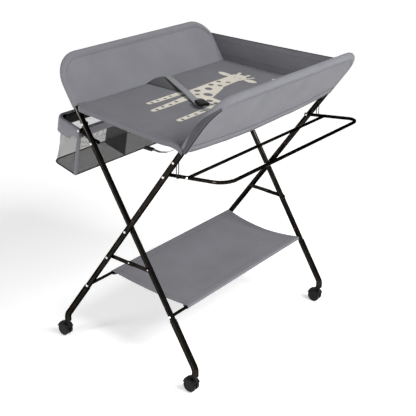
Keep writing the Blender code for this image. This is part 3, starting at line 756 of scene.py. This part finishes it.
def lap_end(inward):
    """A sleeve's sewn end, from the rod's centre: under the sheet, then down to below the rod."""
    points = []
    for step in range(LAP_STEPS + 1):
        along = mix(SHELF_LAP, 0.003, step / LAP_STEPS)
        height = mix(SHELF_WRAP_R - SHELF_LAP_GAP, -SHELF_WRAP_R, smooth(step / LAP_STEPS))
        points.append(X * (inward * along) + Z * height)
    return points


def shelf_row(left, right, reach):
    """A row of the shelf's sheet, from the left sleeve's sewn end over the top to the right one's."""
    span = right.x - left.x
    lap = [left + point for point in lap_end(1)]
    lap += arc_points(left, SHELF_WRAP_R, 270, 90, SLEEVE_STEPS, X, Z)
    other = arc_points(right, SHELF_WRAP_R, 90, -90, SLEEVE_STEPS, X, Z)
    other += [right + point for point in lap_end(-1)[::-1]]
    ends = 1 - (2 * reach - 1) ** 4
    top = []
    for i in range(1, SHELF_COLUMNS):
        share = i / SHELF_COLUMNS
        dip = SHELF_SAG * (1 - (2 * share - 1) ** 2) * (0.72 + 0.28 * ends)
        top.append(left + X * (span * share) + Z * (SHELF_WRAP_R - dip))
    line = []
    for points, sleeve in ((lap, True), (top, False), (other, True)):
        for point in points:
            share = min(max((point.x - left.x) / span, 0.0), 1.0)
            pull = 4 * share * (1 - share)
            near = mix(*SHELF_NEAR, share) + 0.012 * pull
            far = mix(*SHELF_FAR, share) - 0.008 * pull
            placed = Vector((point.x, mix(near, far, reach), point.z))
            placed.z += SHELF_RIPPLE * pull * ripple(placed, 0.12, 21.0)
            if sleeve:
                placed.z -= SHELF_SAG * pull * 0.9
            line.append(placed)
    return line


def shelf(material):
    """One sheet whose side hems are sleeves round the two rods."""
    left = Vector((leg_x(1, SHELF_Z), 0.0, SHELF_Z))
    right = Vector((leg_x(-1, SHELF_Z), 0.0, SHELF_Z))
    grid = [shelf_row(left, right, row / SHELF_ROWS) for row in range(SHELF_ROWS + 1)]
    sheet = cloth_mesh("shelf_cloth", material, [(grid, 0.0)])
    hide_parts("shelf_sheet")
    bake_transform(sheet)
    by_column = turned_grid(grid)
    first = LAP_STEPS + SLEEVE_STEPS + 2
    last = first + SHELF_COLUMNS - 2
    lines = [seam_line(grid, row, Z, first, last + 1) for row in (2, SHELF_ROWS - 2)]
    lines += [seam_line(by_column, first + 1, Z), seam_line(by_column, last - 1, Z)]
    thread = stitches("shelf_stitching", lines)
    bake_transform(thread)


# Basket


def basket_ring(down, inset, closed=True):
    """The basket's outline at a depth, pulled in by an inset. When open it lacks the inner side."""
    share = down / BASKET_DEPTH
    inner = mix(BASKET_IN, BASKET_FLOOR_IN, share) + inset
    outer = mix(BASKET_OUT, BASKET_FLOOR_OUT, share) - inset
    half = mix(ARM_HALF, BASKET_FLOOR_HALF, share) - inset
    radius = BASKET_CORNER_R - inset
    corner = outer - radius
    straight = half - radius
    base = PIVOT + DOWN * down
    sides = 40
    ring = [base + ALONG * mix(inner, corner, step / 6) - Y * half for step in range(6)]
    ring += arc_points(base + ALONG * corner - Y * straight, radius, 180, 90, 8, Y, ALONG)
    ring += [base + ALONG * outer + Y * mix(-straight, straight, step / sides) for step in range(1, sides)]
    ring += arc_points(base + ALONG * corner + Y * straight, radius, 90, 0, 8, Y, ALONG)
    ring += [base + ALONG * mix(corner, inner, step / 6) + Y * half for step in range(1, 7)]
    if closed:
        ring += [base + ALONG * inner + Y * mix(half, -half, step / sides) for step in range(1, sides)]
        ring.append(ring[0].copy())
    return ring


def basket_shell(wall_material, floor_material):
    """The mesh box: four walls, and a floor that sags a little."""
    grid = []
    for step in range(13):
        slack = BASKET_SLACK * sin(pi * step / 12)
        ring = basket_ring(mix(0.004, BASKET_DEPTH, step / 12), slack)
        grid.append([p + ALONG * (0.0015 * ripple(p, 0.07, 31.0)) for p in ring])
    low = basket_ring(BASKET_DEPTH, 0.0)
    middle_x = sum(p.x for p in low) / len(low)
    middle_z = sum(p.z for p in low) / len(low)
    floor = []
    for step in range(7):
        share = step / 6
        sag = DOWN * (BASKET_SAG * sin(share * pi / 2))
        floor.append([p.lerp(Vector((middle_x, p.y * 0.9, middle_z)), share) + sag for p in low])
    shell = cloth_mesh("basket_mesh_cloth", wall_material, [(grid, 0.0), (floor, 0.3)], 0.0)
    shell.data.materials.append(floor_material)
    for face in shell.data.polygons:
        if (face.center - PIVOT).dot(DOWN) > BASKET_DEPTH:
            face.material_index = 1
    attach(shell, "basket")
    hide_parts("basket_mesh")


def basket_rim(cloth, inner_face_material):
    """The band folded over the arms, shorter at its ends by the stays, and the dark face inside it."""
    reach = ARM_R + RIM_WRAP
    outside = [basket_ring(mix(RIM_DEPTH, 0.0, step / 5), -reach, closed=False) for step in range(6)]
    for line in outside[:-1]:
        for column in (0, 1, 2, -3, -2, -1):
            line[column] = line[column].lerp(outside[-1][column], RIM_NOTCH)
    middle = basket_ring(0.0, 0.0, closed=False)
    over = []
    for turn in range(1, 8):
        across = reach * cos(pi * turn / 8)
        above = reach * sin(pi * turn / 8)
        line = []
        for rim_point, centre_point in zip(outside[-1], middle):
            radial = (rim_point - centre_point).normalized()
            line.append(centre_point + radial * across - DOWN * above)
        over.append(line)
    # The band's inside is darker than its outside
    inside = [basket_ring(mix(0.0, RIM_DEPTH * 0.8, step / 5), reach, closed=False) for step in range(6)]
    inner_face = cloth_mesh("basket_rim_inner_face", inner_face_material, [(inside, 0.0)], 0.001)
    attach(inner_face, "basket")
    rim = cloth_mesh("basket_rim_cloth", cloth, [(outside + over, 0.0)], 0.001)
    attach(rim, "basket")
    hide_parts("basket_rim")
    lines = []
    for row in (outside[0], outside[4]):
        centres = [Vector((PIVOT.x - 0.12, 0.0, point.z)) for point in row]
        lines.append([(point, (point - centre).normalized()) for point, centre in zip(row, centres)])
    thread = stitches("basket_rim_stitching", lines, 0.0006)
    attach(thread, "basket")


def basket_inner_rim(material):
    """The sleeve round the basket's inner bar and the skirt sewn under it."""
    half = ARM_HALF - 0.012
    lines = []
    for turn in range(17):
        angle = radians(mix(-90, 270, turn / 16))
        radial = ALONG * cos(angle) - DOWN * sin(angle)
        start = PIVOT + ALONG * BASKET_IN + radial * SLEEVE_R
        lines.append([start + Y * mix(-half, half, step / 30) for step in range(31)])
    for step in range(1, 6):
        lines.append([point + DOWN * (SKIRT_DEPTH * step / 5) for point in lines[16]])
    inner_rim = cloth_mesh("basket_inner_rim_cloth", material, [(lines, 0.0)], 0.001)
    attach(inner_rim, "basket")


def basket_dividers(material, trim):
    """Two mesh walls across the basket, bound along their tops."""
    for word, end in (("near", -1), ("far", 1)):
        grid = []
        for row in range(13):
            down = mix(DIVIDER_TOP, BASKET_DEPTH + 0.003, row / 12)
            share = down / BASKET_DEPTH
            inner = mix(BASKET_IN, BASKET_FLOOR_IN, share) + 0.004
            outer = mix(BASKET_OUT, BASKET_FLOOR_OUT, share) - 0.004
            line = []
            for step in range(11):
                point = PIVOT + DOWN * down + ALONG * mix(inner, outer, step / 10)
                bow = 0.003 * sin(pi * row / 12) * sin(pi * step / 10)
                point.y = end * DIVIDER_Y + bow
                line.append(point)
            grid.append(line)
        divider = cloth_mesh(f"basket_divider_cloth_{word}", material, [(grid, 0.0)], 0.0)
        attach(divider, "basket")
        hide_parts(f"basket_divider_{word}")
        piping(f"basket_divider_binding_{word}", [grid[0]], trim, "basket", 0.0035)


def basket_bindings(cloth, trim):
    """Tape down the box's two corners by the legs, and cord round its floor."""
    for word, corner, side in (("near", 0, X + Y), ("far", 67, X - Y)):
        edge = [basket_ring(mix(0.006, BASKET_DEPTH, step / 10), 0.0)[corner] for step in range(11)]
        name = f"basket_corner_binding_{word}"
        piping(name, [edge], cloth, "basket", 0.013, 0.12, side.normalized())
    piping("basket_floor_binding", [basket_ring(BASKET_DEPTH, 0.0)], trim, "basket", 0.006)


def piping(name, lines, material, body, width, flatness=0.5, face=None):
    """Folded binding tape over a sewn edge: a flattened tube along each line, on a body if named."""
    sides = 8
    shape = bmesh.new()
    layer = shape.loops.layers.uv.new("UVMap")
    for line in lines:
        points = [Vector(point) for point in line]
        rings = []
        travel = 0.0
        for point, before, way in zip(points, [points[0], *points], directions(points)):
            along = way.normalized()
            side = face or along.cross(Z).normalized()
            lift = side.cross(along).normalized()
            travel += (point - before).length
            ring = []
            for step in range(sides):
                angle = 2 * pi * step / sides
                offset = side * (cos(angle) * width / 2) + lift * (sin(angle) * width * flatness / 2)
                ring.append(shape.verts.new(point + offset))
            rings.append((ring, travel))
        for (one, here), (other, there) in zip(rings, rings[1:]):
            for step in range(sides):
                following = (step + 1) % sides
                quad = (one[step], one[following], other[following], other[step])
                low, high = step * width * 0.4, (step + 1) * width * 0.4
                add_face(shape, layer, quad, ((here, low), (here, high), (there, high), (there, low)))
        shape.faces.new(rings[0][0])
        shape.faces.new(rings[-1][0][::-1])
    bmesh.ops.recalc_face_normals(shape, faces=shape.faces)
    obj = make_object(name, shape, material)
    if body:
        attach(obj, body)
    return obj


# Harness


def top_height(x, y):
    """The changing surface's height under a point."""
    left, right = top_edges(y)
    share = min(max((x - left.x) / (right.x - left.x), 0.0), 1.0)
    return top_point(share, y / top_half(share)).z


def strap(word, route, material):
    """Flat webbing along a route of (x, y, height over the cloth)."""
    points = []
    for first, second in zip(route, route[1:]):
        for step in range(8):
            points.append(Vector(first).lerp(Vector(second), step / 8))
    points.append(Vector(route[-1]))
    for _ in range(6):
        middle = [(a + b * 2 + c) / 4 for a, b, c in zip(points, points[1:], points[2:])]
        points = [points[0], *middle, points[-1]]
    grid = [[] for _ in range(5)]
    for point, along in zip(points, directions(points)):
        side = Vector((-along.y, along.x, 0.0)).normalized()
        for k in range(5):
            place = point + side * (STRAP_W * (k / 4 - 0.5))
            under = max(top_height(place.x, place.y) + STRAP_LIFT, top_height(point.x, point.y))
            grid[k].append(Vector((place.x, place.y, under + point.z)))
    obj = cloth_mesh("harness_webbing_" + word, material, [(grid, 0.0)], STRAP_T)
    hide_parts("harness_strap_" + word)
    blend_top(obj)


def harness(material):
    """The two straps, from the creases to the ends of the buckle."""
    plug_low, plug_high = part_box("buckle_plug")
    into_buckle = Vector(joints["buckle_release"]["axis"]) * 0.012
    socket = BUCKLE_AT - into_buckle
    plug = (plug_low + plug_high) / 2 + into_buckle
    left, _ = top_edges(0.045)
    _, right = top_edges(0.03)
    route = [(left.x + 0.004, 0.046, 0.006), (left.x + 0.05, 0.022, 0.012), (-0.07, -0.040, 0.011)]
    strap("left", [*route, (socket.x, socket.y, 0.003)], material)
    route = [(plug.x, plug.y, 0.003), (plug.x + 0.03, plug.y - 0.004, 0.001), (0.15, -0.055, 0.0008)]
    strap("right", [*route, (right.x - 0.002, 0.032, 0.004)], material)


def strap_tab(material):
    """The strap's folded end: a three-cornered flap sewn into the left crease, darker than the strap as
    painted shade of the gap it goes through.
    """
    near, _ = top_edges(-0.055)
    far, _ = top_edges(0.060)
    grid = []
    for j in range(11):
        base = near.lerp(far, j / 10)
        tip = Vector((CROSS.x - 0.088, -0.030 + 0.012 * j / 10, 0.0))
        line = []
        for i in range(13):
            share = i / 12
            x = mix(base.x + 0.004, tip.x, share)
            y = mix(base.y, tip.y, share ** 0.8)
            ridge = TAB_RIDGE * sin(pi * j / 10) * (1 - share) ** 0.7
            line.append(Vector((x, y, top_height(x, y) + TAB_LIFT + ridge)))
        grid.append(line)
    tab = cloth_mesh("harness_tab_cloth", material, [(grid, 0.0)])
    blend_top(tab)


# Print


def to_limb(x, y, limb):
    """Signed distance to a limb, negative inside."""
    ax, ay, bx, by, ra, rb = limb
    dx, dy = bx - ax, by - ay
    t = np.clip(((x - ax) * dx + (y - ay) * dy) / (dx * dx + dy * dy), 0, 1)
    return np.hypot(x - ax - t * dx, y - ay - t * dy) - (ra + t * (rb - ra))


def to_patch(x, y, patch):
    """Signed distance to an oval patch, negative inside."""
    cx, cy, rx, ry = patch
    return (np.hypot((x - cx) / rx, (y - cy) / ry) - 1) * min(rx, ry)


def print_distance(x, y):
    """Signed distance to the printed animal, in metres: negative inside."""
    solid = [to_limb(x, y, limb) for limb in PRINT_LEGS + PRINT_LIMBS]
    solid += [to_patch(x, y, patch) for patch in PRINT_PATCHES]
    spots = list(PRINT_SPOTS)
    for ax, ay, bx, by, wide, _ in PRINT_LEGS:
        for step in range(1, 5):
            share = 0.16 + 0.19 * step
            size = wide * 0.42
            spots.append((mix(ax, bx, share) + 0.002 * (-1) ** step, mix(ay, by, share), size, size))
    cut = [to_patch(x, y, spot) for spot in spots]
    return np.maximum(np.minimum.reduce(solid), -np.minimum.reduce(cut))


def surface_print(material):
    """A cream animal, screen-printed on the cloth: cells inside its outline, snapped to it."""
    cell = PRINT_CELL
    xs = np.arange(-0.150, 0.095, cell)
    ys = np.arange(-0.26, 0.345, cell)
    grid_x, grid_y = np.meshgrid(xs, ys, indexing="ij")
    value = print_distance(grid_x, grid_y)
    slope_x, slope_y = np.gradient(value, cell)
    steep = np.maximum(slope_x ** 2 + slope_y ** 2, 0.3)
    edge = np.abs(value) < cell * 0.75
    grid_x = np.where(edge, grid_x - value * slope_x / steep, grid_x)
    grid_y = np.where(edge, grid_y - value * slope_y / steep, grid_y)
    inside = value < cell * 0.75
    shape = bmesh.new()
    layer = shape.loops.layers.uv.new("UVMap")
    verts = {}

    def vert(i, j):
        if (i, j) not in verts:
            x, y = grid_x[i, j] + CROSS.x, grid_y[i, j]
            verts[i, j] = shape.verts.new((x, y, top_height(x, y) + CLOTH_T / 2 + PRINT_LIFT))
        return verts[i, j]

    for i in range(len(xs) - 1):
        for j in range(len(ys) - 1):
            ring = ((i, j), (i + 1, j), (i + 1, j + 1), (i, j + 1))
            kept = [corner for corner in ring if inside[corner]]
            if len(kept) < 3 or np.mean([value[corner] for corner in kept]) > 0.0:
                continue
            places = [(grid_x[corner], grid_y[corner]) for corner in kept]
            add_face(shape, layer, [vert(*corner) for corner in kept], places)
    obj = make_object("printed_animal", shape, material)
    blend_top(obj)


# CAD nodes

TUBE_NODES = (
    "outer_frame_tube", "inner_frame_tube", "lower_leg", "shelf_rod", "brace_outer", "brace_inner",
    "rack_frame", "rack_bar", "rack_stay", "basket_frame", "basket_bar", "basket_stay",
)


def assign(names, material):
    for name in names:
        data = frame["nodes"][name].data
        data.materials.clear()
        data.materials.append(material)


def round_edges(names, width):
    """A small bevel that catches the light along hard edges."""
    for name in names:
        bevel = frame["nodes"][name].modifiers.new("edges", "BEVEL")
        bevel.width = width
        bevel.segments = 2
        bevel.limit_method = "ANGLE"
        bevel.angle_limit = radians(40)


def rivet_heads(name, material, outer_y):
    """Gives the material to the faces beyond a distance from the middle, where the heads stand."""
    data = frame["nodes"][name].data
    data.materials.append(material)
    for face in data.polygons:
        if abs(face.center.y) >= outer_y:
            face.material_index = 1


def dress_frame():
    """Paint, steel and plastic for the pieces that the CAD draws."""
    coat = painted_tube()
    steel = bright_steel()
    matte = moulded("moulded_black", (0.0065, 0.0062, 0.0060), 0.30, 0.48)
    wheel = moulded("wheel_black", (0.0050, 0.0048, 0.0046), 0.22, 0.38, 420.0)
    nodes = sorted(frame["nodes"])
    bolts = [n for n in nodes if "bolt" in n or "rivet" in n]
    plastics = [n for n in nodes if n.startswith(("caster_fork", "brake_lever", "buckle", "corner_buckle"))]
    wheels = [n for n in nodes if n.startswith("caster_wheels")]
    tubes = [n for n in nodes if n.startswith(TUBE_NODES)]
    assign(bolts, steel)
    assign(plastics, matte)
    assign(wheels, wheel)
    assign(tubes, coat)
    round_edges(wheels, 0.0012)
    round_edges([n for n in plastics if not n.startswith("caster_fork")], 0.0006)
    edge = TUBE_R + 0.00015
    rivet_heads("outer_frame_tube", steel, OUTER_HALF + edge)
    rivet_heads("inner_frame_tube", steel, INNER_HALF + edge)
    rivet_heads("shelf_rod_left", steel, OUTER_HALF + TUBE_R)
    rivet_heads("shelf_rod_right", steel, INNER_HALF + TUBE_R)
    for name in ("rack_bar", "basket_bar"):
        rivet_heads(name, steel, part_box(name)[1].y - BAR_HEAD)


def hole_plugs(body, half, wing_side, heights, material):
    """Small caps in the legs' unused holes, on each leg's near face."""
    cone = {"cap_ends": True, "segments": 16, "radius1": 0.0031, "radius2": 0.0026, "depth": 0.0012}
    shape = bmesh.new()
    for y in (-half - TUBE_R, half - TUBE_R):
        for z in heights:
            place = Matrix.Translation((leg_x(wing_side, z), y, z)) @ Matrix.Rotation(pi / 2, 4, "X")
            bmesh.ops.create_cone(shape, matrix=place, **cone)
    plugs = make_object(body + "_plugs", shape, material)
    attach(plugs, body)


# Floor, lights, camera


def studio_floor():
    """A white floor that glows more further out, so that it meets the sky without an edge."""
    shape = bmesh.new()
    bmesh.ops.create_grid(shape, x_segments=2, y_segments=2, size=FLOOR_HALF)
    pale = Surface("studio_floor", (0.93, 0.93, 0.93), 0.9)
    pale.tint(pale.noise(3.0, 2.0), 0.995, 1.0)
    pale.put("Emission Color", (1.0, 1.0, 1.0, 1.0))
    reach = pale.node("VectorMath", operation="LENGTH")
    pale.link(pale.coordinates(), reach.inputs[0])
    glow = pale.spread(reach.outputs["Value"], NEAR_GLOW, FAR_GLOW, 1.5, 5.0)
    pale.link(glow, pale.shader.inputs["Emission Strength"])
    floor = make_object("studio_floor", shape, pale.material)
    floor.location.z = -0.0005


def studio_sky():
    """A sky that is white at the horizon and darker overhead."""
    world = bpy.data.worlds.new("studio")
    bpy.context.scene.world = world
    world.use_nodes = True
    tree = world.node_tree
    background = tree.nodes["Background"]
    background.inputs["Strength"].default_value = SKY
    height = tree.nodes.new("ShaderNodeSeparateXYZ")
    ramp = tree.nodes.new("ShaderNodeValToRGB")
    ramp.color_ramp.elements[0].color = (1.0, 1.0, 1.0, 1.0)
    ramp.color_ramp.elements[1].color = (ZENITH, ZENITH, ZENITH, 1.0)
    source = tree.nodes.new("ShaderNodeTexCoord")
    tree.links.new(source.outputs["Generated"], height.inputs[0])
    tree.links.new(height.outputs["Z"], ramp.inputs["Fac"])
    tree.links.new(ramp.outputs["Color"], background.inputs["Color"])


def softbox(name, place, aim, size, power):
    """A rectangular light of this size and power, in watts, turned to a point."""
    light = bpy.data.lights.new(name, "AREA")
    light.shape = "RECTANGLE"
    light.size, light.size_y = size
    light.energy = power
    obj = bpy.data.objects.new(name, light)
    obj.location = place
    obj.rotation_euler = (Vector(aim) - Vector(place)).to_track_quat("-Z", "Y").to_euler()
    bpy.context.scene.collection.objects.link(obj)


def photo_camera():
    """The camera of the photo, turned by its azimuth, elevation and roll."""
    data = bpy.data.cameras.new("photo_camera")
    data.lens = CAMERA_LENS
    data.clip_end = 60.0
    camera = bpy.data.objects.new("photo_camera", data)
    turn = Matrix.Rotation(CAMERA_AZIMUTH, 4, "Z") @ Matrix.Rotation(pi / 2 - CAMERA_ELEVATION, 4, "X")
    turn = turn @ Matrix.Rotation(CAMERA_ROLL, 4, "Z")
    camera.matrix_world = Matrix.Translation(CAMERA_AT + X * CROSS.x) @ turn
    bpy.context.scene.collection.objects.link(camera)
    bpy.context.scene.camera = camera


photo_camera()
studio_floor()
studio_sky()
softbox("key_right", (2.4, 0.3, 3.05), (0, 0, 0.6), (1.5, 1.5), 122.0)
softbox("front_fill", (-1.4, -3.4, 1.4), (0, 0, 0.6), (0.5, 2.2), 54.0)
grey = woven("grey_oxford_cloth", (0.178, 0.179, 0.197))
# Painted light: the end panel's cloth is a slightly lighter copy of the grey, to lift the panel, which gets
# little light
lit_panel_grey = woven("grey_oxford_cloth_painted_light", (0.186, 0.187, 0.205))
# Painted shade: the changing surface's cloth is a darker copy of the grey, for the shade that falls on the
# top between the wings
shaded_surface_grey = woven("grey_surface_cloth_painted_shade", (0.138, 0.139, 0.154))
# Dark grey: the end panel's binding in its own colour, and the strap's flap, where the dark is partly
# painted shade of the crease
binding_and_painted_shade_grey = woven("dark_grey_binding_and_painted_shade", (0.062, 0.062, 0.068))
# Painted shade: a dark grey for the strip along the right wing's near edge and the line in the hems' folds
painted_shade_cloth = woven("grey_gusset", (0.066, 0.066, 0.075))
binding = woven("black_binding", (0.022, 0.022, 0.024))
thread_material = woven("grey_thread", (0.105, 0.105, 0.115))
wall_mesh = mesh_cloth("dark_basket_mesh", (0.016, 0.0135, 0.0125), 0.72, 0.08)
floor_mesh = mesh_cloth("dark_floor_mesh", (0.020, 0.0165, 0.0145), 0.97, 0.58)
divider_mesh = mesh_cloth("dark_divider_mesh", (0.012, 0.0105, 0.0100), 0.99, 0.80)
tape = webbing()
print_ink = woven("cream_print", (0.62, 0.58, 0.50), slubs=0.06)
dress_frame()
assign(["corner_strap"], tape)
plug_brown = moulded("plug_brown", (0.11, 0.030, 0.020), 0.35, 0.55)
hole_plugs("inner_frame", INNER_HALF, -1, (0.602, 0.544, 0.266), plug_brown)
hole_plugs("outer_frame", OUTER_HALF, 1, (0.579, 0.535), plug_brown)
wing_cover("wing_cover_left", -1, INNER_HALF, CREASE_LEFT_Z, "inner_frame", grey)
wing_cover("wing_cover_right", 1, OUTER_HALF, CREASE_RIGHT_Z, "outer_frame", grey)
changing_surface(shaded_surface_grey)
end_panel(lit_panel_grey)
shelf(grey)
basket_shell(wall_mesh, floor_mesh)
basket_rim(grey, binding)
basket_inner_rim(grey)
basket_dividers(divider_mesh, binding)
basket_bindings(grey, binding)
harness(tape)
strap_tab(binding_and_painted_shade_grey)
surface_print(print_ink)

bpy.context.view_layer.update()
bpy.context.scene.view_settings.view_transform = "Standard"
